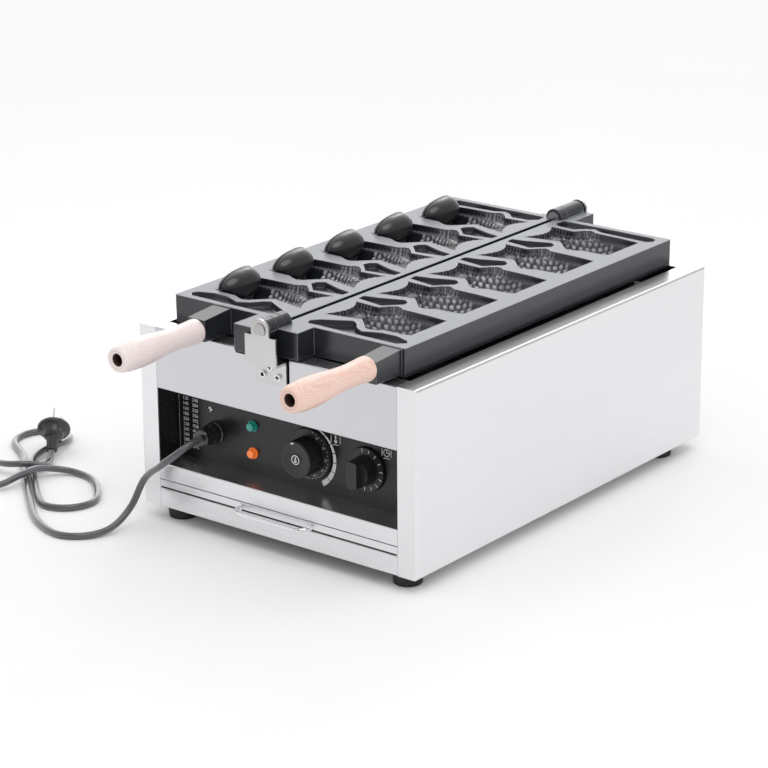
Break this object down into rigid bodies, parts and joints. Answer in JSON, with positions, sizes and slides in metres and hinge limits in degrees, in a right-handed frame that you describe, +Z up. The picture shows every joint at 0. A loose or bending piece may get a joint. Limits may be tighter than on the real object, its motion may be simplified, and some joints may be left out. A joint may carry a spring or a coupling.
{
  "type": "taiyaki maker",
  "caption": "Countertop cooker with two hinged cast plates of fish-shaped moulds over a stainless housing with controls, drip tray, wooden grips and a mains lead.",
  "frame": {"origin": "centre of the rigid part's outline, on the surface that its feet stand on", "axes": "+X to the operator's right, +Y from the front to the back, +Z up"},
  "size_m": [0.6888, 0.731, 0.282],
  "materials": {
    "brushed_steel": "brushed, satin",
    "inner_sheet": "mill finish",
    "panel_black": "satin black",
    "hinge_steel": "machined",
    "screws": "bright zinc",
    "cast_plate": "satin non-stick coating",
    "cast_core": "glossy coating",
    "pale_wood": "lacquered, pale pink",
    "peach_wood": "lacquered, peach",
    "bright_wire": "polished",
    "foot_rubber": "matte",
    "heater_sheath": "oxidised sheath",
    "ceramic": "glazed white",
    "bulb_copper": "bare copper",
    "switch_case": "moulded, cream",
    "timer_case": "moulded, black",
    "knob_black": "satin black",
    "green_lens": "clear green",
    "orange_lens": "clear orange",
    "gland_black": "black nylon",
    "cord_grey": "smooth dark grey",
    "plug_black": "moulded, dark grey",
    "plug_pin": "nickel plated"
  },
  "bodies": {
    "housing": {"left_side_panel": "brushed_steel", "right_side_panel": "brushed_steel", "front_panel": "brushed_steel", "rear_panel": "brushed_steel", "base_pan": "inner_sheet", "front_sill": "brushed_steel", "control_shelf": "brushed_steel", "control_panel": "panel_black", "partition": "inner_sheet", "tray_runners": "inner_sheet", "rubber_feet": "foot_rubber", "foot_screws": "screws", "front_hinge_bracket": "brushed_steel", "rear_hinge_bracket": "brushed_steel", "bracket_screws": "screws", "front_hinge_pin": "hinge_steel", "rear_hinge_pin": "hinge_steel", "left_heater": "heater_sheath", "right_heater": "heater_sheath", "heater_rails": "inner_sheet", "heater_terminals": "ceramic", "thermostat_bulb": "bulb_copper", "thermostat_body": "switch_case", "timer_body": "timer_case", "green_lamp": "green_lens", "orange_lamp": "orange_lens", "panel_screw": "screws", "cable_gland": "gland_black", "gland_nut": "gland_black", "terminal_block": "ceramic", "power_cord": "cord_grey", "cord_tie": "gland_black", "plug_body": "plug_black", "plug_pins": "plug_pin"},
    "left_mould": {"left_plate": "cast_plate", "mouth_cores": "cast_core", "left_grip": "pale_wood", "left_grip_bolt": "screws"},
    "right_mould": {"right_plate": "cast_plate", "right_grip": "peach_wood", "right_grip_bolt": "screws"},
    "tray": {"drip_tray": "brushed_steel", "tray_handle": "bright_wire"},
    "temperature_dial": {"temperature_knob": "knob_black"},
    "timer_dial": {"timer_knob": "knob_black"}
  },
  "joints": [
    {"name": "left_plate_hinge", "type": "hinge", "parent": "housing", "child": "left_mould", "pos_m": [0, -0.2205, 0.2658], "axis": [0, 1, 0], "range_deg": [0, 180]},
    {"name": "right_plate_hinge", "type": "hinge", "parent": "housing", "child": "right_mould", "pos_m": [0, -0.2205, 0.2658], "axis": [0, -1, 0], "range_deg": [0, 180]},
    {"name": "drip_tray_slide", "type": "slide", "parent": "housing", "child": "tray", "axis": [0, -1, 0], "range_m": [0, 0.4]},
    {"name": "temperature_knob_turn", "type": "hinge", "parent": "housing", "child": "temperature_dial", "pos_m": [0.022, -0.2005, 0.114], "axis": [0, 1, 0], "range_deg": [0, 270]},
    {"name": "timer_knob_turn", "type": "hinge", "parent": "housing", "child": "timer_dial", "pos_m": [0.101, -0.2005, 0.114], "axis": [0, 1, 0], "range_deg": [0, 300]}
  ]
}
